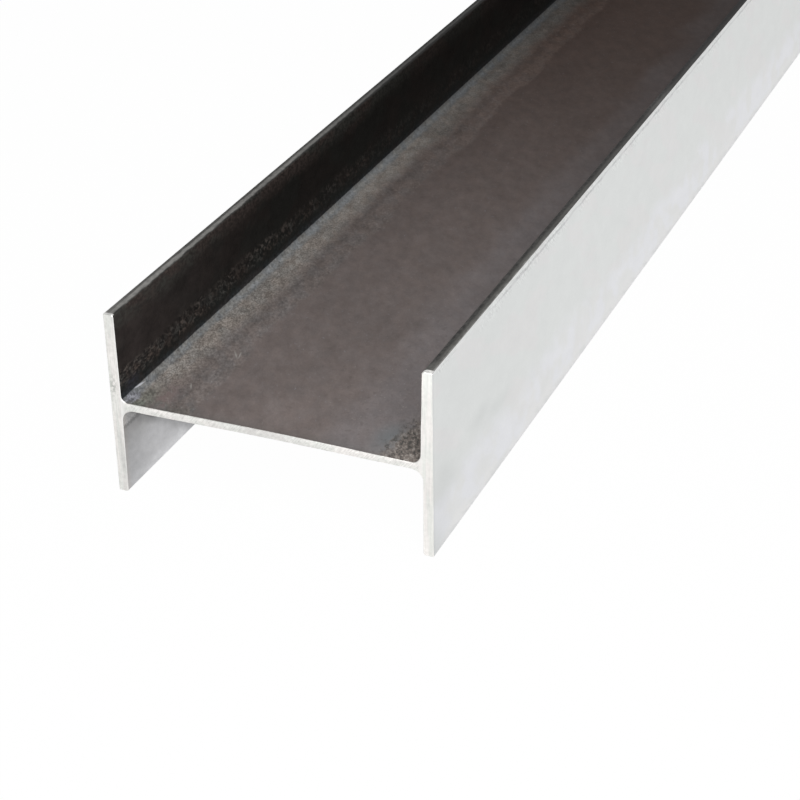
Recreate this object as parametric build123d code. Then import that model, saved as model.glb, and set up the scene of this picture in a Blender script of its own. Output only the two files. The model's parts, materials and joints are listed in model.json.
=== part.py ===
from build123d import *
import os

# A hot-rolled steel I-beam: two parallel flanges joined by one thin web, rolled in one piece.
# It lies on its side, as stock is laid down: the web is level and the flanges stand on their toes.
# X runs across the section from flange to flange, Y along the length, and Z up.
# The origin is at mid-length, in the middle of the rectangle that the beam stands on.

# Rolled section, in millimetres: the 254 x 146 universal beam of 31 kg a metre.
section_depth = 251.4  # across both flanges
flange_width = 146.1  # from toe to toe
flange_thickness = 8.6
web_thickness = 6.0
root_radius = 7.6  # fillet that the rolls leave between web and flange
toe_radius = 1.2  # soft edge that the rolls leave along each flange toe

# Cut length, and the arris that is filed off round each sawn end.
beam_length = 2000.0
end_arris = 0.4

# Places that follow from the section.
flange_centre_x = (section_depth - flange_thickness) / 2
web_height = flange_width / 2


def rolled_section():
    """The H outline, centred on the origin, with its root fillets and softened toes."""
    web = Rectangle(section_depth - flange_thickness, web_thickness)
    flange = Rectangle(flange_thickness, flange_width)
    outline = web
    for side in (-1, 1):
        outline += Pos(side * flange_centre_x, 0) * flange

    # Sorted by height, the second rows from each end are the corners where web meets flange.
    rows = outline.vertices().group_by(Axis.Y)
    outline = fillet(rows[1] + rows[-2], root_radius)
    rows = outline.vertices().group_by(Axis.Y)
    return fillet(rows[0] + rows[-1], toe_radius)


def sawn_beam():
    """The section rolled out to length and sawn square at both ends."""
    beam = extrude(Plane.XZ * rolled_section(), beam_length / 2, both=True)
    ends = beam.faces().filter_by(Axis.Y)
    beam = chamfer(ends.edges(), end_arris)
    return Pos(0, 0, web_height) * beam


os.makedirs("parts", exist_ok=True)
export_step(sawn_beam(), "parts/i_beam.step")
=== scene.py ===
import json
import math
import bpy
from mathutils import Matrix, Vector, noise


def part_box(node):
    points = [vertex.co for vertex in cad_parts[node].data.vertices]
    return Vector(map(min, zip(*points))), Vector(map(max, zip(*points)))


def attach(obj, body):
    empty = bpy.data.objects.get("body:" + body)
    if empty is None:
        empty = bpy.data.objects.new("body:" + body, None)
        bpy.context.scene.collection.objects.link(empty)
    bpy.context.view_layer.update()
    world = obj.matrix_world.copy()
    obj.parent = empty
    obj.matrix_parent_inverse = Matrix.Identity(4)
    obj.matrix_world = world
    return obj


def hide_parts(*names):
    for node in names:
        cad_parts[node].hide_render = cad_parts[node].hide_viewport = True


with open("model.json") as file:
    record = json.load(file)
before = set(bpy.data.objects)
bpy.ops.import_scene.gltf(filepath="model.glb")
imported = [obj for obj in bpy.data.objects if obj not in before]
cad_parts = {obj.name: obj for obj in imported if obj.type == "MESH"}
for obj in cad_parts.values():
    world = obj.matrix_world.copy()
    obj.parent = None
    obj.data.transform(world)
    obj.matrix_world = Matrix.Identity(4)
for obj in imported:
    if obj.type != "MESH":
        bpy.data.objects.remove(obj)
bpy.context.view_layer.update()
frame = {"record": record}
mounts = {mount["name"]: Vector(mount["pos_m"]) for mount in frame["record"]["mounts"]}
beamLow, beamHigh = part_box("i_beam")
print("frame loaded")


class Wire:
    # One socket's value. Sums, differences, products and absolute values of wires add the Math nodes they
    # need.
    def __init__(self, finish, socket):
        self.finish = finish
        self.socket = socket

    def maths(self, operation, *values):
        sockets = dict(enumerate(values))
        return self.finish.node("ShaderNodeMath", {"operation": operation}, sockets)

    def __add__(self, other):
        return self.maths("ADD", self, other)

    def __radd__(self, other):
        return self.maths("ADD", other, self)

    def __sub__(self, other):
        return self.maths("SUBTRACT", self, other)

    def __rsub__(self, other):
        return self.maths("SUBTRACT", other, self)

    def __mul__(self, other):
        return self.maths("MULTIPLY", self, other)

    def __rmul__(self, other):
        return self.maths("MULTIPLY", other, self)

    def __abs__(self):
        return self.maths("ABSOLUTE", self)

    def larger(self, other):
        return self.maths("MAXIMUM", self, other)

    def take(self, name):
        # another output of the node this wire comes from
        return Wire(self.finish, self.socket.node.outputs[name])


class Finish:
    # The nodes of one material or world, all added through the node method.
    def __init__(self, owner):
        owner.use_nodes = True
        self.tree = owner.node_tree
        self.tree.nodes.clear()

    def node(self, kind, settings=None, sockets=None, out=0):
        made = self.tree.nodes.new(kind)
        for name, value in (settings or {}).items():
            setattr(made, name, value)
        for name, value in (sockets or {}).items():
            self.plug(made.inputs[name], value)
        return Wire(self, made.outputs[out]) if len(made.outputs) else None

    def plug(self, socket, value):
        if isinstance(value, Wire):
            self.tree.links.new(value.socket, socket)
        elif socket.type == "RGBA" and len(value) == 3:
            socket.default_value = (*value, 1)
        else:
            socket.default_value = value

    def fade(self, value, start, end, low=0, high=1):
        # goes smoothly from low to high while value goes from start to end
        sockets = {"Value": value, "From Min": start, "From Max": end, "To Min": low, "To Max": high}
        return self.node("ShaderNodeMapRange", {"interpolation_type": "SMOOTHSTEP"}, sockets)

    def between(self, value, start, end, soft):
        # 1 from start to end, and a soft edge outside each
        return self.fade(value, start - soft, start) * self.fade(value, end + soft, end)

    def blend(self, factor, under, over):
        # colour over laid on colour under by factor
        return self.node("ShaderNodeMix", {"data_type": "RGBA"}, {0: factor, 6: under, 7: over}, 2)

    def shade(self, colour, tone):
        # colour made lighter or darker by the number tone
        return self.node("ShaderNodeVectorMath", {"operation": "SCALE"}, {0: colour, "Scale": tone})

    def tint(self, colour, hue):
        return self.node("ShaderNodeVectorMath", {"operation": "MULTIPLY"}, {0: colour, 1: hue})

    def spot(self, centre, reach, turn=0):
        # 1 at a place on the beam, 0 beyond its reach along x, y and z; turn swings it round the upright
        rotation = (0, 0, math.radians(turn))
        sockets = {"Vector": self.place, "Location": centre, "Rotation": rotation, "Scale": reach}
        moved = self.node("ShaderNodeMapping", {"vector_type": "TEXTURE"}, sockets)
        away = self.node("ShaderNodeVectorMath", {"operation": "LENGTH"}, {0: moved}, "Value")
        return self.fade(away, 1, 0)

    def grain(self, size, detail=2, stretch=(1, 1, 1), slant=(0, 0, 0), shift=0, rough=0.5, curl=0):
        # cloudy noise whose lumps are size metres across, drawn out by stretch, turned by slant and curled
        sockets = {
            "Vector": self.place,
            "Location": (shift, shift, shift),
            "Rotation": tuple(math.radians(angle) for angle in slant),
            "Scale": tuple(size * pull for pull in stretch),
        }
        moved = self.node("ShaderNodeMapping", {"vector_type": "TEXTURE"}, sockets)
        sockets = {"Vector": moved, "Scale": 1, "Detail": detail, "Roughness": rough, "Distortion": curl}
        return self.node("ShaderNodeTexNoise", {"noise_dimensions": "3D"}, sockets, "Fac")

    def relief(self, height, strength, depth):
        sockets = {"Height": height, "Strength": strength, "Distance": depth}
        return self.node("ShaderNodeBump", sockets=sockets)

    def drive(self, **sockets):
        # plugs wires into the shader, an underscore in a name standing for a blank
        for name, wire in sockets.items():
            self.plug(self.shader.socket.node.inputs[name.replace("_", " ")], wire)


def startFinish(name, shaderValues):
    # a steel finish with the beam's own coordinates at hand
    material = bpy.data.materials.new(name)
    f = Finish(material)
    f.place = f.node("ShaderNodeTexCoord", out="Object")
    f.x = f.node("ShaderNodeSeparateXYZ", sockets={"Vector": f.place}, out="X")
    f.y = f.x.take("Y")
    f.z = f.x.take("Z")
    f.shader = f.node("ShaderNodeBsdfPrincipled", sockets=shaderValues)
    f.node("ShaderNodeOutputMaterial", sockets={"Surface": f.shader})
    return f, material


# Sizes of the rolled section, read off the frame. The toes are less round on their outer side, and the
# legs follow the web's bow and lean as far as webReach flange thicknesses away.
section = {
    "depth": beamHigh.x - beamLow.x,
    "width": beamHigh.z - beamLow.z,
    "length": beamHigh.y - beamLow.y,
    "flange": 2 * (beamHigh.x - mounts["toe_rest_right"].x),
    "web": mounts["web_upper_face"].z - mounts["web_lower_face"].z,
    "middle": mounts["front_end"].z,
    "outerToe": 0.0008,
    "innerToe": 0.0018,
    "webBow": 0.0005,
    "webDrop": 0.00065,
    "webTilt": 0.0008,
    "webReach": 3,
}

# The rolls leave the four legs a little uneven: the root radius, how much thinner the flange is at its
# toe and at its root, and how much the web swells beside it.
legs = (
    {"across": 1, "up": 1, "root": 0.0068, "toeThin": 0.0009, "rootThin": -0.0008, "webFat": -0.0003},
    {"across": -1, "up": 1, "root": 0.0052, "toeThin": 0.0003, "rootThin": -0.00005, "webFat": 0},
    {"across": -1, "up": -1, "root": 0.0092, "toeThin": 0.0008, "rootThin": 0.0001, "webFat": 0.0003},
    {"across": 1, "up": -1, "root": 0.0092, "toeThin": 0.0005, "rootThin": 0.0010, "webFat": -0.0004},
)

halfDepth = section["depth"] / 2
halfLength = section["length"] / 2
innerFace = halfDepth - section["flange"]
webTop = section["middle"] + section["web"] / 2
webBottom = section["middle"] - section["web"] / 2
toeTop = beamHigh.z


# The outer faces of the flanges: pale, smooth scale with soft clouds, and a dark line under the upper toe.
flangeLook = {
    "grey": (0.720, 0.736, 0.728),
    "pink": (0.730, 0.731, 0.727),
    "lilac": (0.768, 0.775, 0.799),
    "beige": (0.750, 0.750, 0.750),
    "foot": (0.790, 0.786, 0.784),
    "dull": (0.650, 0.668, 0.660),
    "edgeHighlight": (0.92, 0.92, 0.915),
    "mark": (0.40, 0.40, 0.41),
    "farGain": 1.03,
    "mottle": 0.12,
    "cloudSize": 0.045,
    "patchSize": 0.028,
    "mottleSize": 0.016,
    "smearSize": 0.010,
    "fineSize": 0.0018,
    "streakSize": 0.0007,
    "lowZone": 0.056,
    "duskPlace": (0.1257, -0.910, 0.066),
    "duskReach": (0.05, 0.036, 0.013),
    "duskTailPlace": (0.1257, -0.875, 0.057),
    "duskTailReach": (0.05, 0.040, 0.011),
    "cornerDuskPlace": (0.1257, -0.972, 0.050),
    "cornerDuskReach": (0.05, 0.040, 0.024),
    "cornerDullReach": 0.042,
    "footBand": 0.010,
    "lineDepth": 0.0047,
    "lineWidth": 0.0010,
    "markBand": 0.016,
    "markSize": 0.0010,
    "roughness": 0.36,
    "relief": (0.2, 0.0004),
}


def makeFlangeFinish(look):
    f, material = startFinish("flange_scale", {"Metallic": 0.95, "Roughness": look["roughness"]})
    clouds = f.grain(look["cloudSize"], 2, stretch=(1, 1.8, 0.55), slant=(-24, 0, 0))
    colour = f.blend(f.fade(clouds, 0.50, 0.60), look["grey"], look["pink"])
    veil = f.grain(look["cloudSize"] * 0.6, 2, stretch=(1, 1.5, 0.9), slant=(-35, 0, 0), shift=0.7)
    lowDown = f.fade(f.z + (clouds - 0.5) * 0.04, look["lowZone"], look["lowZone"] * 0.5)
    lowTone = f.blend(f.fade(veil, 0.39, 0.57), look["beige"], look["lilac"])
    colour = f.blend(lowDown * f.fade(veil, 0.30, 0.62, 0.55, 1), colour, lowTone)
    dusk = f.spot(look["duskPlace"], look["duskReach"])
    dusk = dusk.larger(f.spot(look["duskTailPlace"], look["duskTailReach"])) * 0.7
    dusk = dusk.larger(f.spot(look["cornerDuskPlace"], look["cornerDuskReach"]) * 0.6)
    colour = f.blend(dusk, colour, look["dull"])
    mottle = f.grain(look["mottleSize"], 4, stretch=(1, 1.5, 1), slant=(-25, 0, 0), shift=0.25, rough=0.72)
    fine = f.grain(look["fineSize"], 3, shift=0.2)
    tone = f.fade(f.y, -0.95, -0.65, 1, look["farGain"]) + (fine - 0.5) * 0.05
    colour = f.shade(colour, tone + (mottle - 0.5) * look["mottle"])
    # a paler foot with dull smears, darkest at the sawn corner
    colour = f.blend(f.fade(f.z + (veil - 0.5) * 0.03, 0.014, 0.005) * 0.7, colour, look["foot"])
    smears = f.grain(look["smearSize"], 3, stretch=(1, 2.2, 0.6), slant=(-20, 0, 0), shift=0.15)
    cornerDulling = f.fade(f.y + f.z, -halfLength + look["cornerDullReach"], -halfLength)
    foot = f.fade(f.z, look["footBand"], 0.001) * f.fade(smears, 0.44, 0.60, 0.1, 1)
    colour = f.blend((foot * 0.7).larger(cornerDulling) * 0.85, colour, look["dull"])
    # the flange turns duller towards the cut, most of all low down and right beside it
    byCut = f.fade(f.y, -halfLength + 0.045, -halfLength + 0.010) * f.fade(f.z, 0.10, 0.05) * 0.05
    byCut = byCut + f.fade(f.y, -halfLength + 0.0040, -halfLength + 0.0012) * 0.06
    colour = f.shade(colour, 1 - byCut)
    # fine streaks and a dark line just under the upper toe, and short slanting bruises below them
    streaks = f.grain(look["streakSize"], 3, stretch=(1, 16, 1), shift=0.35)
    patches = f.fade(f.grain(look["patchSize"], 2, shift=0.9), 0.42, 0.56)
    fromToe = toeTop - f.z
    nearToe = f.fade(fromToe, look["lineDepth"] + 0.001, look["lineDepth"] - 0.001)
    colour = f.shade(colour, 1 + (streaks - 0.5) * nearToe * 0.55)
    lineShift = fromToe + (f.grain(0.009, 3, stretch=(1, 2, 1), shift=0.6) - 0.5) * 0.004
    line = f.between(lineShift, look["lineDepth"], look["lineDepth"] + look["lineWidth"], 0.0012)
    line = line * f.fade(f.y, -0.90, -0.84) * f.fade(patches, 0, 1, 0.24, 0.50)
    colour = f.blend(line, colour, look["mark"])
    halfBand = look["markBand"] * 0.5
    bruised = f.between(fromToe, look["lineDepth"], halfBand, halfBand) * patches
    marks = f.grain(look["markSize"], 3, stretch=(1, 1, 4.5), slant=(44, 0, 0), shift=0.4, rough=0.65)
    colour = f.shade(colour, 1 + (marks - 0.5) * bruised * 1.0)
    # painted highlight: a bright line along the upper edge, just under the toe
    colour = f.blend(f.fade(fromToe, 0.0014, 0.0006), colour, look["edgeHighlight"])
    height = fine * 0.3 + (marks - line) * bruised + mottle * 0.5 + f.grain(0.012, 2, shift=0.5)
    f.drive(Base_Color=colour, Normal=f.relief(height, *look["relief"]))
    return material


# The upper channel: warm dark scale on the web, near black on the left wall, gritty along the left root.
channelLook = {
    "front": (0.163, 0.137, 0.130),
    "dark": (0.090, 0.060, 0.050),
    "frontCool": (0.178, 0.158, 0.157),
    "darkCool": (0.106, 0.084, 0.080),
    "darkPlace": 0.05,
    "darkReach": 0.95,
    "coolStart": 0.025,
    "coolEnd": 0.065,
    "rightGain": 0.25,
    "middlePlace": (0.0, -0.83, 0.076),
    "middleReach": (0.085, 0.16, 0.05),
    "middleTone": 0.10,
    "mottle": 0.78,
    "grainTurn": 26,
    "driftSize": 0.04,
    "hueSize": 0.012,
    "mottleSize": 0.011,
    "lumpSize": 0.0042,
    "crumbSize": 0.0022,
    "speckleSize": 0.0013,
    "pitSize": 0.0050,
    "speckSize": 0.0020,
    "flakeSize": 0.0031,
    "streakSize": 0.0019,
    "warmHue": (1.02, 1.0, 0.98),
    "greenHue": (0.975, 1.004, 1.016),
    "grit": (0.296, 0.271, 0.250),
    "gritDark": (0.150, 0.133, 0.120),
    "gritStart": 0.016,
    "gritEnd": 0.035,
    "gritFade": 0.5,
    "gritLeft": 0.72,
    "veilHue": (0.985, 1.025, 1.03),
    "veilEnd": 0.053,
    "seam": 0.033,
    "seamDepth": 0.10,
    "rim": (0.236, 0.236, 0.232),
    "rimCool": (0.95, 1.0, 1.06),
    "rimWarm": (1.00, 1.0, 0.99),
    "lowCool": (0.91, 1.02, 1.05),
    "lowWarm": (1.06, 0.98, 0.95),
    "rimStart": 0.0007,
    "rimEnd": 0.0062,
    "wallFront": (0.0265, 0.0220, 0.0208),
    "wallDark": (0.0085, 0.0080, 0.0073),
    "wallReach": 0.30,
    "rootShade": (0.0260, 0.0268, 0.0280),
    "rootShadeFar": (0.0190, 0.0193, 0.0200),
    "rootGloom": (0.0110, 0.0122, 0.0112),
    "wallSpeck": (0.118, 0.102, 0.091),
    "wallWarm": (1.13, 0.98, 0.94),
    "wallOlive": (0.94, 1.04, 1.0),
    "wallPit": (0.004, 0.0038, 0.0035),
    "wallBluePlace": (-0.1165, -0.982, 0.084),
    "wallBlueReach": (0.010, 0.016, 0.010),
    "wallBlue": (0.034, 0.034, 0.044),
    "wallEdge": (0.047, 0.042, 0.039),
    "rightWall": (0.150, 0.134, 0.130),
    "rustPlace": (0.111, -0.988, 0.076),
    "rustReach": (0.040, 0.110, 0.03),
    "rustSpeck": (0.345, 0.315, 0.286),
    "rustMid": (0.178, 0.153, 0.135),
    "rustDark": (0.074, 0.070, 0.064),
    "bluePlace": (0.084, -0.974, 0.076),
    "blueReach": (0.020, 0.034, 0.03),
    "blue": (0.150, 0.163, 0.170),
    "greenPlace": (-0.104, -0.988, 0.076),
    "greenReach": (0.013, 0.036, 0.02),
    "green": (0.150, 0.150, 0.128),
    "pinkPlace": (-0.093, -0.982, 0.076),
    "pinkReach": (0.017, 0.045, 0.02),
    "pink": (0.178, 0.134, 0.130),
    "bruisePlace": (-0.1125, -0.990, 0.077),
    "bruiseReach": (0.0075, 0.0150, 0.008),
    "bruise": (0.190, 0.192, 0.215),
    "glintPlace": (-0.1159, -0.9745, 0.0779),
    "glintReach": (0.00075, 0.0135, 0.0030),
    "glint": (0.46, 0.47, 0.50),
    "fringeHue": (0.86, 0.93, 0.92),
    "cutTone": 0.90,
    "scratches": (
        {"place": (-0.0725, -0.9044, 0.076), "reach": (0.0012, 0.0088, 0.02), "turn": 35},
        {"place": (-0.0696, -0.9038, 0.076), "reach": (0.0010, 0.0078, 0.02), "turn": 14},
        {"place": (-0.0816, -0.9595, 0.076), "reach": (0.0010, 0.0070, 0.02), "turn": 26},
        {"place": (-0.1113, -0.9800, 0.076), "reach": (0.0020, 0.0036, 0.02), "turn": 26},
        {"place": (-0.1099, -0.9702, 0.076), "reach": (0.0016, 0.0032, 0.02), "turn": 26},
    ),
    "darkLines": (
        {"place": (-0.0817, -0.9387, 0.076), "reach": (0.0014, 0.0080, 0.02), "turn": -69},
        {"place": (-0.0800, -0.9437, 0.076), "reach": (0.0014, 0.0095, 0.02), "turn": -69},
        {"place": (-0.0840, -0.9330, 0.076), "reach": (0.0012, 0.0050, 0.02), "turn": -66},
    ),
    "scratch": (0.36, 0.35, 0.33),
    "pit": (0.100, 0.086, 0.081),
    "roughness": 0.5,
    "relief": (0.35, 0.0004),
}


def makeChannelFinish(look):
    f, material = startFinish("channel_scale", {"Roughness": look["roughness"], "Specular IOR Level": 0.15})
    fromRoot = innerFace - abs(f.x)
    leftSide = f.fade(f.x, 0.02, -0.02)
    drift = f.grain(look["driftSize"], 2, stretch=(1, 2, 1), shift=0.3)
    # the grain of the scale lies a little aslant
    aslant = {"stretch": (1, 1.8, 1), "slant": (0, 0, look["grainTurn"])}
    mottle = f.grain(look["mottleSize"], 4, **aslant, rough=0.75)
    hue = f.grain(look["hueSize"], 3, **aslant, shift=0.45, rough=0.6)
    speckle = f.grain(look["speckleSize"], 3, **aslant, rough=0.6)
    lumps = f.grain(look["lumpSize"], 3, **aslant, shift=0.8, rough=0.6)
    crumbs = f.grain(look["crumbSize"], 2, **aslant, shift=0.35, rough=0.6)
    sharp = f.fade(f.y, -0.96, -0.45, 1, 0.5)

    # web: painted darker towards mid-length, a painted fall-off of the light along the beam; cooler on the
    # right, and painted lighter beside the right flange, painted light that lifts the channel's shade there
    darker = f.fade(abs(f.y - look["darkPlace"]), look["darkReach"], 0)
    warm = f.blend(darker, look["front"], look["dark"])
    cool = f.blend(darker, look["frontCool"], look["darkCool"])
    coolHere = f.fade(f.x + (drift - 0.5) * 0.06, look["coolStart"], look["coolEnd"])
    colour = f.blend(coolHere, warm, cool)
    rightTone = f.fade(f.x, 0.070, 0.098, 1, 1 + look["rightGain"])
    middle = f.spot(look["middlePlace"], look["middleReach"]) * look["middleTone"]
    colour = f.shade(colour, rightTone - middle + (drift - 0.5) * 0.25)

    # a greener, rougher veil beside the grit, with a darker seam, then the grit along the left root
    # painted fall-off of the light: the grit and the root's grey sweep are painted dimmer towards
    # mid-length, like the web
    dusk = f.fade(abs(f.y - look["darkPlace"]), look["gritFade"], 0, 1, look["gritLeft"])
    wobble = (drift - 0.5) * 0.020 + (lumps - 0.5) * 0.010
    veil = f.fade(fromRoot + wobble * 1.3, look["veilEnd"] + 0.003, look["veilEnd"] - 0.003) * leftSide
    veilTone = f.shade(f.tint(colour, look["veilHue"]), f.fade(f.y, -0.62, -0.32, 1.06, 1.40))
    colour = f.blend(veil, colour, veilTone)
    seam = f.between(fromRoot + wobble, look["seam"], look["seam"] + 0.003, 0.005) * leftSide
    colour = f.shade(colour, 1 - seam * look["seamDepth"])
    band = f.fade(fromRoot + wobble, look["gritEnd"], look["gritStart"]) * f.fade(leftSide, 0, 1, 0.25, 1)
    gritMix = (f.fade(speckle * 0.6 + lumps * 0.4, 0.36, 0.64) - 0.5) * sharp + 0.5
    dusk = dusk * f.fade(f.y, -0.92, -0.74, 1, 1.14) * f.fade(f.y, -0.62, -0.32, 1, 0.82)
    gritTone = f.shade(f.blend(gritMix, look["gritDark"], look["grit"]), dusk)
    frontEase = f.fade(f.y, -halfLength, -halfLength + 0.06, 0.55, 1)
    colour = f.blend(band * frontEase, colour, gritTone)

    # mottling, coarser near the root, and a change of hue with it
    rough = veil.larger(band)
    colour = f.shade(colour, 1 + (mottle - 0.5) * look["mottle"] * (1 + rough * 0.4))
    finer = (speckle - 0.5) * (0.30 + rough * 0.3) + (crumbs - 0.5) * (rough * 1.15 - band * 0.4)
    coarser = (lumps - 0.5) * rough * 0.35 + (drift - 0.5) * band * 0.8
    colour = f.shade(colour, 1 + finer * sharp + coarser)
    hued = f.blend(f.fade(hue, 0.40, 0.60), look["greenHue"], look["warmHue"])
    colour = f.blend(0.4 + rough * 0.6, colour, f.tint(colour, hued))
    frontRight = f.fade(f.x, -0.02, 0.05) * f.fade(f.y, -0.72, -0.88)
    pits = f.fade(f.grain(look["pitSize"], 1, stretch=(1, 1.5, 1), shift=0.15), 0.62, 0.74)
    colour = f.blend(pits * (0.14 + frontRight * 0.24), colour, look["pit"])
    specks = f.fade(f.grain(look["speckSize"], 1, stretch=(1, 1.5, 1), shift=0.55), 0.68, 0.80)
    colour = f.blend(specks * (0.12 + frontRight * 0.30 + rough * 0.2), colour, look["grit"])

    # a bluish patch and a rusty, gritty one in the front right corner
    colour = f.blend(f.spot(look["bluePlace"], look["blueReach"]) * 0.8, colour, look["blue"])
    ragged = (lumps - 0.5) * 0.9 - (crumbs - 0.5) * 0.7
    rust = f.fade(f.spot(look["rustPlace"], look["rustReach"]) + ragged, 0.12, 0.62)
    rustTone = f.blend(f.fade(crumbs, 0.36, 0.50), look["rustDark"], look["rustMid"])
    rustTone = f.blend(f.fade(crumbs, 0.51, 0.67), rustTone, look["rustSpeck"])
    colour = f.blend(rust * 0.9, colour, rustTone)

    # a pinkish and a greenish patch in the front left corner, a dull fringe by the saw cut, scratches
    pinkHere = f.spot(look["pinkPlace"], look["pinkReach"]) * f.fade(lumps, 0.36, 0.60, 0.3, 1)
    colour = f.blend(pinkHere * 0.8, colour, look["pink"])
    greenHere = f.spot(look["greenPlace"], look["greenReach"]) * 0.8
    greenTone = f.shade(look["green"], f.fade(crumbs, 0.36, 0.66, 0.62, 1.5))
    colour = f.blend(greenHere, colour, greenTone)
    fringe = f.fade(f.y + (lumps - 0.5) * 0.03, -halfLength + 0.014, -halfLength + 0.002)
    fringe = fringe * (1 - rust) * f.fade(f.x, -0.095, -0.035, 1, 0.35)
    colour = f.blend(fringe, colour, f.tint(colour, look["fringeHue"]))
    colour = f.shade(colour, f.fade(f.y, -halfLength + 0.0015, -halfLength + 0.0045, look["cutTone"], 1))
    for line in look["darkLines"]:
        here = f.spot(line["place"], line["reach"], line["turn"])
        colour = f.blend(here * 0.35, colour, look["pit"])
    for scratch in look["scratches"]:
        here = f.spot(scratch["place"], scratch["reach"], scratch["turn"])
        colour = f.blend(here * 0.7, colour, look["scratch"])

    # the grey sweep of the left root: grainy scale painted pale as a painted reflection of the sky on the
    # fillet, with a blue bruise at the sawn end
    rimShift = fromRoot + (lumps - 0.5) * 0.006 - f.fade(f.y, -0.90, -0.70, 0, 0.0018)
    rim = f.fade(rimShift, look["rimEnd"] + 0.003, look["rimEnd"] - 0.003) * leftSide
    rimGrain = (speckle - 0.5) * 0.8 + (crumbs - 0.5) * 1.8
    rimGain = dusk * f.fade(f.y, -0.96, -0.70, 0.80, 0.9) * (1 + rimGrain * sharp + (lumps - 0.5) * 0.9)
    rimTone = f.tint(look["rim"], f.blend(f.fade(hue, 0.42, 0.58), look["rimCool"], look["rimWarm"]))
    byWall = f.fade(fromRoot, 0.0040, 0.0012) * f.fade(f.y, -0.97, -0.60, 0.10, 0.30)
    colour = f.blend(rim * 0.92, colour, f.shade(rimTone, rimGain * (1 - byWall)))
    bruise = f.fade(f.spot(look["bruisePlace"], look["bruiseReach"]) + (crumbs - 0.5) * 1.2, 0.15, 0.60)
    colour = f.blend(bruise * 0.8, colour, f.shade(look["bruise"], f.fade(crumbs, 0.36, 0.66, 0.5, 1.6)))

    # the near-black left wall, painted darker away from the sawn end as a painted fall-off of the light
    # into the channel, with a row of specks above the root; the right wall is like the web
    deeper = f.fade(f.y, -halfLength, -halfLength + look["wallReach"])
    wall = f.blend(deeper, look["wallFront"], look["wallDark"])
    wall = f.shade(wall, 1 + (mottle - 0.5) * 2.0)
    wallHue = f.fade(f.grain(0.026, 3, stretch=(1, 2, 1), shift=0.2), 0.43, 0.57)
    hued = f.blend(wallHue, look["wallOlive"], look["wallWarm"])
    wall = f.blend(f.fade(f.y, -0.90, -0.75, 0.2, 1), wall, f.tint(wall, hued))
    # the row of specks: long dense streaks by the sawn end, then loose flakes in clusters
    streaky = f.fade(f.y, -0.935, -0.955)
    streaks = f.grain(look["streakSize"], 3, stretch=(1, 2.4, 1), shift=0.65, rough=0.6, curl=0.5)
    curled = {"stretch": (1, 1.5, 1), "slant": (-30, 0, 0), "curl": 0.7}
    flakes = f.grain(look["flakeSize"], 3, **curled, shift=0.65, rough=0.6)
    flecks = flakes + (streaks - flakes) * streaky
    clusters = f.fade(f.grain(0.014, 2, stretch=(1, 1.6, 1), shift=0.5), 0.40, 0.60).larger(streaky)
    speckRow = f.between(f.z + (drift - 0.5) * 0.012, webTop + 0.013, webTop + 0.022, 0.006)
    speckRow = speckRow * f.fade(f.y, -0.90, -0.42, 0.95, 0.30) * f.fade(clusters, 0, 1, 0.60, 1)
    wall = f.blend(speckRow * f.fade(flecks, 0.46, 0.68) * 0.85, wall, look["wallSpeck"])
    wall = f.blend(speckRow * f.fade(flecks, 0.50, 0.36), wall, look["wallPit"])
    lowEdge = f.z + (lumps - 0.5) * 0.010 + (drift - 0.5) * 0.010
    gloom = f.fade(lowEdge, webTop + 0.016, webTop + 0.008) * f.fade(flecks, 0.40, 0.58, 0.9, 0.35)
    wall = f.blend(gloom, wall, f.shade(look["rootGloom"], 1 + (crumbs - 0.5) * 3))
    rootShade = f.blend(f.fade(f.y, -0.95, -0.40), look["rootShade"], look["rootShadeFar"])
    rootShade = f.shade(rootShade, 1 + (crumbs - 0.5) * 2.2 + (lumps - 0.5) * 1.6)
    wall = f.blend(f.fade(lowEdge, webTop + 0.0085, webTop + 0.003), wall, rootShade)
    lowHue = f.tint(wall, f.blend(f.fade(hue, 0.42, 0.58), look["lowCool"], look["lowWarm"]))
    wall = f.blend(f.fade(f.z, webTop + 0.026, webTop + 0.016), wall, lowHue)
    wallBlueHere = f.spot(look["wallBluePlace"], look["wallBlueReach"]) * f.fade(crumbs, 0.38, 0.62, 0.3, 1)
    wall = f.blend(wallBlueHere, wall, look["wallBlue"])
    topEdge = f.fade(f.z + (lumps - 0.5) * 0.012 + (drift - 0.5) * 0.010, toeTop - 0.019, toeTop - 0.004)
    topEdge = topEdge * f.fade(f.y, -0.70, -0.35, 1, 0.5)
    wall = f.blend(topEdge * f.fade(crumbs, 0.38, 0.62, 0.25, 1), wall, f.tint(look["wallEdge"], hued))
    wall = f.blend(leftSide, look["rightWall"], wall)
    # painted highlight: a thin glint along the edge of the left root by the sawn end
    glint = f.fade(f.spot(look["glintPlace"], look["glintReach"], -5), 0, 0.7)
    colour = f.blend(glint * f.fade(f.y, -0.974, -0.966, 1, 0.5), colour, look["glint"])
    edge = look["rimStart"] + (lumps - 0.5) * 0.0004
    colour = f.blend(f.fade(fromRoot - edge, 0.0002, -0.0002), colour, wall)

    height = speckle * (0.4 + rough * 0.8 + rust * 0.8) + lumps * (0.3 + rough + rust * 2) + mottle * 0.8
    f.drive(Base_Color=colour, Normal=f.relief(height, *look["relief"]))
    return material


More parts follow.
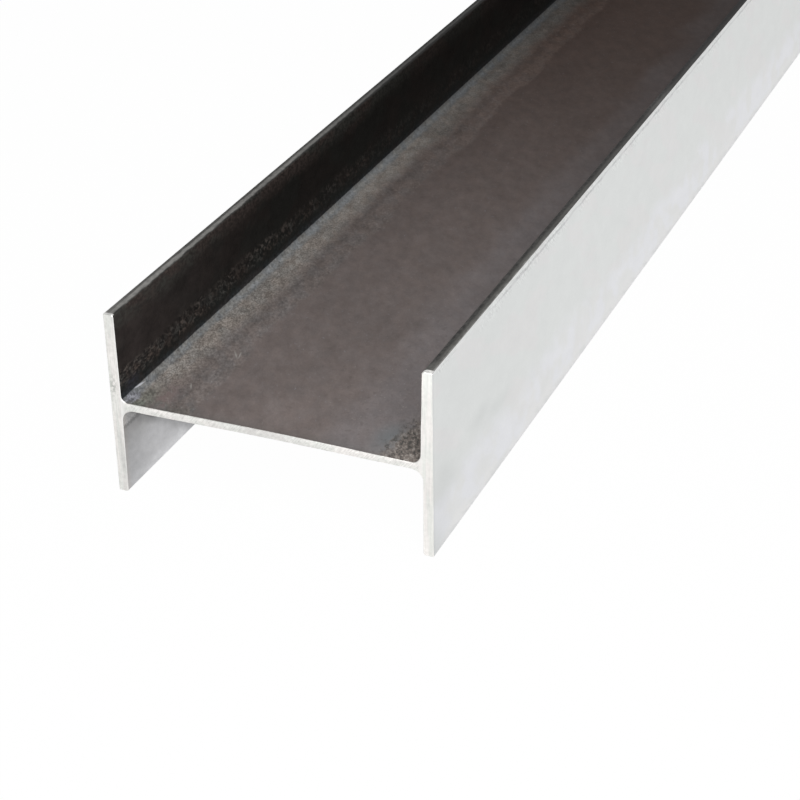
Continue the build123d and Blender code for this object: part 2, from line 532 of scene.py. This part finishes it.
# The lower channel: paler scale, brightest at the foot, and painted shade under the web and deeper in.
undersideLook = {
    "foot": (0.668, 0.670, 0.684),
    "low": (0.535, 0.534, 0.545),
    "high": (0.380, 0.374, 0.372),
    "line": (0.16, 0.16, 0.16),
    "lineDrop": 0.0160,
    "lineWidth": 0.0006,
    "dustTone": 0.76,
    "dustReach": 0.052,
    "footNear": 0.94,
    "footFar": 1.08,
    "dustHue": (1.04, 1.0, 0.96),
    "footTop": 0.018,
    "paleTop": 0.024,
    "darkFrom": 0.058,
    "sweepDrop": 0.014,
    "sweepTone": 1.45,
    "deepStart": 0.0585,
    "deepEnd": 0.0685,
    "deepSlope": 0.634,
    "deepTone": 0.70,
    "rimTone": 0.72,
    "tipTone": 0.78,
    "cloudSize": 0.02,
    "streakSize": 0.006,
    "fineSize": 0.0014,
    "roughness": 0.42,
    "relief": (0.25, 0.0004),
}


def makeUndersideFinish(look):
    f, material = startFinish("underside_scale", {"Metallic": 0.9, "Roughness": look["roughness"]})
    clouds = f.grain(look["cloudSize"], 3, stretch=(1, 1.8, 1), slant=(-25, 0, 0))
    fine = f.grain(look["fineSize"], 3, shift=0.2)
    fromEnd = f.y + halfLength
    height = f.z + (clouds - 0.5) * 0.022
    colour = f.blend(f.fade(height, look["paleTop"], look["darkFrom"]), look["low"], look["high"])
    colour = f.blend(f.fade(height, look["footTop"], 0.002), colour, look["foot"])
    # the root sweep is paler, and painted shade darkens the scale under the web and deeper inside the
    # channel
    sweep = f.fade(f.z, webBottom - look["sweepDrop"] - 0.002, webBottom - look["sweepDrop"] + 0.002)
    colour = f.shade(colour, 1 + sweep * (look["sweepTone"] - 1 + (fine - 0.5) * 1.2))
    lineLow = webBottom - look["lineDrop"]
    lineShift = f.z + (fine - 0.5) * 0.006 + (clouds - 0.5) * 0.003
    line = f.between(lineShift, lineLow, lineLow + look["lineWidth"], 0.0020)
    line = line * f.fade(fromEnd, 0, 0.006, 0.3, 0.55) * f.fade(clouds, 0.42, 0.56, 0.35, 1)
    colour = f.blend(line, colour, look["line"])
    inwards = f.z + fromEnd * look["deepSlope"] + (clouds - 0.5) * 0.010
    paintedChannelShade = f.fade(inwards, look["deepStart"], look["deepEnd"], 1, look["deepTone"])
    paintedChannelShade = paintedChannelShade * f.fade(inwards, look["deepEnd"] - 0.0005, look["deepEnd"] + 0.0013, 1, look["rimTone"])
    paintedChannelShade = paintedChannelShade * f.fade(fromEnd, 0.080, 0.104, 1, look["tipTone"])
    aslant = {"stretch": (1, 1.5, 0.8), "slant": (-30, 0, 0)}
    streaks = f.grain(look["streakSize"], 3, **aslant, shift=0.4, rough=0.6)
    colour = f.shade(colour, paintedChannelShade + (clouds - 0.5) * 0.16 + (streaks - 0.5) * 0.34 + (fine - 0.5) * 0.16)
    dusty = f.fade(fromEnd, 0.008, 0)
    colour = f.blend(dusty, colour, f.tint(colour, look["dustHue"]))
    dust = f.fade(fromEnd, 0, look["dustReach"], look["dustTone"], 1)
    footTone = f.fade(fromEnd, 0.03, 0.10, look["footNear"], look["footFar"])
    colour = f.shade(colour, dust * (1 + f.fade(f.z, 0.024, 0.010) * (footTone - 1)))
    f.drive(Base_Color=colour, Normal=f.relief(fine * 0.3 + clouds, *look["relief"]))
    return material


# The rolled toes: dark scale. The left one has a rubbed stripe, the right one a black inner half.
toeLook = {
    "leftDark": (0.088, 0.086, 0.081),
    "leftDarkFar": (0.042, 0.042, 0.040),
    "rubbed": (0.250, 0.246, 0.234),
    "rubbedFar": (0.110, 0.109, 0.105),
    "stripeStart": 0.0038,
    "stripeEnd": 0.0060,
    "stripeSoft": 0.0014,
    "leftEdge": (0.020, 0.019, 0.018),
    "leftEdgeStart": 0.0066,
    "leftEdgeEnd": 0.0080,
    "right": (0.118, 0.116, 0.108),
    "rightFar": (0.088, 0.087, 0.084),
    "rightLip": (0.26, 0.258, 0.245),
    "rightDark": (0.034, 0.033, 0.031),
    "rightDarkFar": (0.033, 0.032, 0.031),
    "rightInner": (0.088, 0.084, 0.079),
    "rightInnerFar": (0.052, 0.050, 0.048),
    "tip": (0.80, 0.79, 0.77),
    "tipReach": 0.0040,
    "leftTipReach": 0.0032,
    "farShade": 0.68,
    "rubPlace": (0.1214, -0.465, 0.1461),
    "rubReach": (0.02, 0.05, 0.02),
    "rubTone": 1.0,
    "fadeStart": -0.72,
    "fadeEnd": -0.40,
    "patchSize": 0.018,
    "raggedSize": 0.005,
    "nickSize": 0.0024,
    "roughness": 0.45,
    "relief": (0.35, 0.0003),
}


def makeToeFinish(look):
    f, material = startFinish("toe_scale", {"Metallic": 0.2, "Roughness": look["roughness"]})
    inward = halfDepth - abs(f.x)
    leftSide = f.fade(f.x, 0.02, -0.02)
    # painted fall-off of the light: both toes are painted darker farther from the sawn end
    farther = f.fade(f.y, look["fadeStart"], look["fadeEnd"])
    ragged = inward + (f.grain(look["raggedSize"], 2, stretch=(1, 2, 1)) - 0.5) * 0.0024
    nicks = f.grain(look["nickSize"], 3, stretch=(1, 1.8, 1), shift=0.4, rough=0.6)
    patches = f.grain(look["patchSize"], 2, stretch=(1, 1.8, 1), shift=0.7)

    # left: a dark outer line, the rubbed stripe, and a black inner edge
    left = f.blend(farther, look["leftDark"], look["leftDarkFar"])
    rubbed = f.blend(farther, look["rubbed"], look["rubbedFar"])
    narrower = f.fade(f.y, -0.80, -0.30) * 0.0016
    stripe = f.fade(ragged, look["stripeStart"] - look["stripeSoft"], look["stripeStart"])
    stripe = stripe * f.fade(ragged + narrower, look["stripeEnd"] + look["stripeSoft"], look["stripeEnd"])
    frontWipe = f.fade(f.y, -halfLength + 0.05, -halfLength) * f.fade(inward, 0.006, 0.005) * 0.5
    left = f.blend(stripe.larger(frontWipe), left, rubbed)
    leftEdge = f.fade(ragged + narrower, look["leftEdgeStart"], look["leftEdgeEnd"])
    left = f.blend(leftEdge, left, look["leftEdge"])

    # right: grey outside, black and rough along the middle, a little paler at the inner edge
    right = f.blend(farther, look["right"], look["rightFar"])
    right = f.blend(f.fade(ragged, 0.0015, 0.0003) * f.fade(f.y, -0.72, -0.82), right, look["rightLip"])
    dark = f.blend(farther, look["rightDark"], look["rightDarkFar"])
    inner = f.blend(farther, look["rightInner"], look["rightInnerFar"])
    dark = f.blend(f.fade(ragged, 0.0058, 0.0078), dark, inner)
    torn = ragged + (nicks - 0.5) * 0.0058
    blackness = f.fade(torn, 0.0024, 0.0042) * f.fade(nicks, 0.36, 0.60, 1, 0.66)
    blackness = blackness * f.fade(f.y, -halfLength + 0.007, -halfLength + 0.024, 0.22, 1)
    right = f.blend(blackness, right, dark)
    rub = f.spot(look["rubPlace"], look["rubReach"]) * look["rubTone"]
    right = f.shade(right, f.fade(f.y, -0.36, -0.22, 1, look["farShade"]) + rub)

    # bare steel where the saw came through the tip of each toe, most on the outer side of the right one
    fromEnd = f.y + halfLength
    tip = f.fade(fromEnd - f.fade(inward, 0.0092, 0.0050) * look["tipReach"], 0.0010, 0)
    right = f.blend(tip, right, look["tip"])
    leftTip = f.fade(fromEnd, look["leftTipReach"], look["leftTipReach"] / 2)
    left = f.blend(leftTip * 0.85, left, look["tip"])

    colour = f.blend(leftSide, right, left)
    colour = f.shade(colour, 1 + (nicks - 0.5) * 1.3 + (patches - 0.5) * 0.6)
    f.drive(Base_Color=colour, Normal=f.relief(nicks, *look["relief"]))
    return material


# The sawn ends: bright steel, its saw marks running along each flange and slanting over the web.
sawnLook = {
    "pinkish": (0.848, 0.824, 0.797),
    "greenish": (0.806, 0.812, 0.778),
    "pale": (0.89, 0.885, 0.87),
    "worn": (0.66, 0.650, 0.63),
    "smudge": (0.40, 0.42, 0.39),
    "smudgePlace": (-0.1225, -1.0, 0.088),
    "smudgeReach": (0.005, 0.01, 0.014),
    "webWear": (-0.008, -1.0, 0.073),
    "webWearReach": (0.06, 0.01, 0.02),
    "footWear": (-0.1200, -1.0, 0.030),
    "footWearReach": (0.004, 0.01, 0.045),
    "rootDip": (0.1220, -1.0, 0.052),
    "rootDipReach": (0.006, 0.01, 0.026),
    "rootDipTone": 0.10,
    "crownTone": 0.10,
    "blotchSize": 0.006,
    "pockSize": 0.0030,
    "sawStep": 0.0008,
    "roughness": 0.42,
    "relief": (0.3, 0.00025),
}


def makeSawnFinish(look):
    f, material = startFinish("sawn_steel", {"Metallic": 0.7, "Roughness": look["roughness"]})
    onFlange = f.fade(abs(f.x), innerFace - 0.004, innerFace + 0.001)
    onWeb = 1 - onFlange
    upright = f.grain(look["blotchSize"], 3, stretch=(0.45, 1, 5))
    level = f.grain(look["blotchSize"], 3, stretch=(5.0, 1, 1.6), slant=(0, 15, 0), shift=0.5)
    fromOutside = halfDepth - abs(f.x)
    sideways = f.fade(fromOutside, 0, section["flange"], -0.045, 0.045)
    blotches = (upright + sideways) * onFlange + level * onWeb
    colour = f.blend(f.fade(blotches, 0.41, 0.59), look["greenish"], look["pinkish"])
    webWorn = f.spot(look["webWear"], look["webWearReach"]) * f.fade(level, 0.40, 0.60, 0.3, 1)
    wear = webWorn.larger(f.spot(look["footWear"], look["footWearReach"]))
    colour = f.blend(wear * 0.75, colour, look["worn"])
    uprightMarks = f.grain(look["sawStep"], 2, stretch=(1, 1, 30), shift=0.3)
    slantMarks = f.grain(look["sawStep"], 2, stretch=(1, 1, 9), slant=(0, 40, 0), shift=0.8)
    marks = uprightMarks * onFlange + slantMarks * onWeb
    pocks = f.grain(look["pockSize"], 3, shift=0.75, rough=0.6)
    onLeft = f.fade(f.x, -innerFace + 0.004, -innerFace - 0.001)
    tone = 1 + (marks - 0.5) * (0.30 + onWeb * 0.32 + onLeft * 0.15)
    tone = tone + (pocks - 0.5) * (0.22 + onWeb * 0.30 + onLeft * 0.15) + (blotches - 0.5) * 0.22
    tone = tone + onWeb * f.fade(f.z, webTop - 0.0042, webTop - 0.0008, -0.03, 0.07)
    # painted light: the ends are painted lighter towards the right, the side the lamp stands on
    tone = tone + f.fade(f.x, -halfDepth, halfDepth, -0.035, 0.02)
    tone = tone - f.spot(look["rootDip"], look["rootDipReach"]) * look["rootDipTone"]
    # painted light: the top of the right flange's end is painted lighter
    tone = tone + f.fade(f.x, 0, innerFace) * f.fade(f.z, 0.122, 0.140) * look["crownTone"]
    colour = f.shade(colour, tone)
    # a pale line along each flange's inner edge: the burr, with a painted highlight on it, brighter on the
    # left
    burrAndHighlight = f.fade(fromOutside, section["flange"] - 0.0012, section["flange"] - 0.0004)
    colour = f.blend(burrAndHighlight * onFlange * f.fade(f.x, 0.02, -0.02, 0.3, 0.8), colour, look["pale"])
    smudged = f.fade(f.grain(0.0022, 2, shift=0.6), 0.44, 0.60)
    grey = f.spot(look["smudgePlace"], look["smudgeReach"]) * smudged
    colour = f.blend(grey * 0.75, colour, look["smudge"])
    f.drive(Base_Color=colour, Normal=f.relief(marks + blotches * 0.6, *look["relief"]))
    return material


# The beam: one skin drawn along the rolled section.
beam = {
    "name": "rolled_beam",
    "toeSteps": 4,
    "rootSteps": 8,
    "faceStep": 0.011,
    "ringStep": 0.0036,
    "arris": 0.0004,
    "waveDepth": 0.00018,
    "waveSize": 0.09,
    "nickDepth": 0.0006,
    "nickSize": 0.0055,
    "nickFloor": 0.3,
    "burrSize": 0.007,
    "burrSwing": 1.3,
}


def arc(centre, radius, startDegrees, endDegrees, steps):
    for step in range(steps + 1):
        angle = math.radians(startDegrees + (endDegrees - startDegrees) * step / steps)
        yield centre[0] + radius * math.cos(angle), centre[1] + radius * math.sin(angle)


def straight(start, end):
    # points after start and before end, about a face step apart
    count = max(1, round(math.dist(start, end) / beam["faceStep"]))
    for step in range(1, count):
        share = step / count
        yield start[0] + (end[0] - start[0]) * share, start[1] + (end[1] - start[1]) * share


def legOutline(leg):
    # one quarter of the section, from the outer face's middle round the toe and root to the web's middle
    outerToe = section["outerToe"]
    innerToe = section["innerToe"]
    root = leg["root"]
    halfWidth = section["width"] / 2
    halfWeb = section["web"] / 2
    innerAtToe = innerFace + leg["toeThin"]
    innerAtRoot = innerFace + leg["rootThin"]
    rootLevel = halfWeb + leg["webFat"]
    outerArc = list(arc((halfDepth - outerToe, halfWidth - outerToe), outerToe, 0, 90, beam["toeSteps"]))
    toeCentre = (innerAtToe + innerToe, halfWidth - innerToe)
    innerArc = list(arc(toeCentre, innerToe, 90, 180, beam["toeSteps"]))
    rootArc = list(arc((innerAtRoot - root, rootLevel + root), root, 360, 270, beam["rootSteps"]))
    middle = beam["toeSteps"] // 2
    start = (halfDepth, 0)
    end = (0, halfWeb)
    pieces = (
        ("flange", [start, *straight(start, outerArc[0]), *outerArc[:middle]]),
        ("toe", [*outerArc[middle:], *straight(outerArc[-1], innerArc[0]), *innerArc[:middle]]),
        ("channel", [*innerArc[middle:], *straight(innerArc[-1], rootArc[0]), *rootArc]),
        ("channel", [*straight(rootArc[-1], end), end]),
    )
    return [(point, zone) for zone, points in pieces for point in points]


def wholeOutline():
    # the four legs joined into one loop; a point's zone is that of the face after it
    loop = []
    for turn, leg in enumerate(legs):
        outline = legOutline(leg)
        side = [(x * leg["across"], z * leg["up"]) for (x, z), zone in outline]
        channel = "upper" if leg["up"] > 0 else "lower"
        zones = [channel if zone == "channel" else zone for point, zone in outline[:-1]]
        if turn % 2:
            side.reverse()
            zones.reverse()
        loop += list(zip(side[:-1], zones))
    return loop


def outwardNormals(points):
    normals = []
    for index in range(len(points)):
        before = points[index - 1]
        after = points[(index + 1) % len(points)]
        along = Vector((after[0] - before[0], after[1] - before[1])).normalized()
        normals.append(Vector((along.y, -along.x)))
    return normals


def webLift(x, z):
    # the web is bowed up in its middle and leans down to the right, and what is near it follows
    nearWeb = max(0, 1 - abs(z) / (section["flange"] * section["webReach"]))
    across = max(-1, min(1, x / innerFace))
    bow = section["webBow"] * math.cos(math.pi * across)
    return (bow - section["webDrop"] - section["webTilt"] * across) * nearWeb


def sunkBy(place, onToe):
    # how far the rolls left the skin under its nominal face: long waves, and nicks along the toes
    wave = noise.noise(place / beam["waveSize"]) * 0.5 + 0.5
    depth = beam["waveDepth"] * wave
    if onToe:
        nick = noise.noise(place / beam["nickSize"] + Vector((7, 3, 5)))
        depth += beam["nickDepth"] * max(0, nick - beam["nickFloor"])
    return depth


def burrOf(place):
    # the filed edge of a sawn end is uneven
    swing = beam["burrSwing"] * noise.noise(place / beam["burrSize"])
    return beam["arris"] * max(0.1, 1 + swing)


def buildBeam(finishes):
    outline = wholeOutline()
    points = [point for point, zone in outline]
    zones = [zone for point, zone in outline]
    normals = outwardNormals(points)
    count = len(points)
    runLength = section["length"] - 2 * beam["arris"]
    rings = round(runLength / beam["ringStep"])
    places = [-halfLength + beam["arris"] + runLength * ring / rings for ring in range(rings + 1)]
    stations = [-halfLength, *places, halfLength]
    lastStation = len(stations) - 1

    vertices = []
    for station, y in enumerate(stations):
        for (x, z), normal, zone in zip(points, normals, zones):
            sink = sunkBy(Vector((x, y, z)), zone == "toe")
            if station in (0, lastStation):
                sink += burrOf(Vector((x, y, z)))
            lift = webLift(x, z) if abs(x) < halfDepth - section["outerToe"] else 0
            height = section["middle"] + z + lift
            vertices.append((x - normal.x * sink, y, height - normal.y * sink))

    order = list(finishes)
    faces = []
    slots = []
    smooth = []
    for ring in range(lastStation):
        atEnd = ring in (0, lastStation - 1)
        for index in range(count):
            after = (index + 1) % count
            low = ring * count
            high = low + count
            faces.append((low + index, low + after, high + after, high + index))
            slots.append(order.index("sawn" if atEnd else zones[index]))
            smooth.append(not atEnd)
    faces.append(tuple(reversed(range(count))))
    faces.append(tuple(range(lastStation * count, (lastStation + 1) * count)))
    slots += [order.index("sawn")] * 2
    smooth += [False] * 2

    mesh = bpy.data.meshes.new(beam["name"])
    mesh.from_pydata(vertices, [], faces)
    for finish in finishes.values():
        mesh.materials.append(finish)
    mesh.polygons.foreach_set("material_index", slots)
    mesh.polygons.foreach_set("use_smooth", smooth)
    mesh.validate()
    mesh.update()
    # the edge where a long face meets the filed arris stays crisp
    crisp = {1, lastStation - 1}
    for edge in mesh.edges:
        first, second = (vertex // count for vertex in edge.vertices)
        edge.use_edge_sharp = first == second and first in crisp
    return addObject(beam["name"], mesh)


def addObject(name, data):
    made = bpy.data.objects.new(name, data)
    bpy.context.scene.collection.objects.link(made)
    return made


finishes = {
    "flange": makeFlangeFinish(flangeLook),
    "toe": makeToeFinish(toeLook),
    "upper": makeChannelFinish(channelLook),
    "lower": makeUndersideFinish(undersideLook),
    "sawn": makeSawnFinish(sawnLook),
}
print("finishes made")

rolledBeam = buildBeam(finishes)
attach(rolledBeam, "root")
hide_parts("i_beam")
print("beam built of", sum(len(face.vertices) - 2 for face in rolledBeam.data.polygons), "triangles")


# The floor: white to the eye and in reflections, pale for the light that falls on it.
floorLook = {"size": 60, "pale": (0.8, 0.8, 0.8), "shadowShare": 0.012}


def buildFloor(look):
    half = look["size"] / 2
    corners = [(-half, -half, 0), (half, -half, 0), (half, half, 0), (-half, half, 0)]
    mesh = bpy.data.meshes.new("studio_floor")
    mesh.from_pydata(corners, [], [(0, 1, 2, 3)])
    material = bpy.data.materials.new("studio_white")
    f = Finish(material)
    seen = f.node("ShaderNodeLightPath", out="Is Camera Ray")
    seen = seen.larger(seen.take("Is Glossy Ray")).larger(seen.take("Is Transmission Ray"))
    matt = f.node("ShaderNodeBsdfDiffuse", sockets={"Color": look["pale"]})
    white = f.node("ShaderNodeEmission")
    mixed = f.node("ShaderNodeMixShader", sockets={0: seen * (1 - look["shadowShare"]), 1: matt, 2: white})
    f.node("ShaderNodeOutputMaterial", sockets={"Surface": mixed})
    mesh.materials.append(material)
    floor = addObject("studio_floor", mesh)
    floor.location.z = beamLow.z


# The light: a dim even sky, and a softbox by the camera that falls off along the beam.
studio = {
    "sky": 0.24,
    "keyPlace": (0.40, -1.65, 0.92),
    "keyAim": (0.0, -0.95, 0.05),
    "keySize": 0.8,
    "keyPower": 16,
}


def buildStudio(look):
    world = bpy.data.worlds.new("studio")
    f = Finish(world)
    sky = f.node("ShaderNodeBackground", sockets={"Color": (1, 1, 1), "Strength": look["sky"]})
    f.node("ShaderNodeOutputWorld", sockets={"Surface": sky})
    bpy.context.scene.world = world
    light = bpy.data.lights.new("key_softbox", "AREA")
    light.shape = "SQUARE"
    light.size = look["keySize"]
    light.energy = look["keyPower"]
    lamp = addObject("key_softbox", light)
    lamp.location = look["keyPlace"]
    lamp.visible_camera = False
    aim = Vector(look["keyAim"]) - lamp.location
    lamp.rotation_euler = aim.to_track_quat("-Z", "Y").to_euler()


# The camera stands in front and to the right of the sawn end, and looks down along the beam.
view = {
    "place": (0.5889, -2.1315, 0.8063),
    "azimuth": 23.277,
    "elevation": 29.071,
    "roll": 1.102,
    "lens": 93.87,
    "sensor": 36,
}


def buildCamera(look):
    data = bpy.data.cameras.new("photo_camera")
    data.sensor_width = look["sensor"]
    data.lens = look["lens"]
    camera = addObject("photo_camera", data)
    turn = Matrix.Rotation(math.radians(look["azimuth"]), 4, "Z")
    tip = Matrix.Rotation(math.radians(90 - look["elevation"]), 4, "X")
    roll = Matrix.Rotation(math.radians(-look["roll"]), 4, "Z")
    camera.matrix_world = Matrix.Translation(look["place"]) @ turn @ tip @ roll
    bpy.context.scene.camera = camera


buildFloor(floorLook)
buildStudio(studio)
buildCamera(view)
bpy.context.scene.view_settings.view_transform = "Standard"
print("studio and camera set")
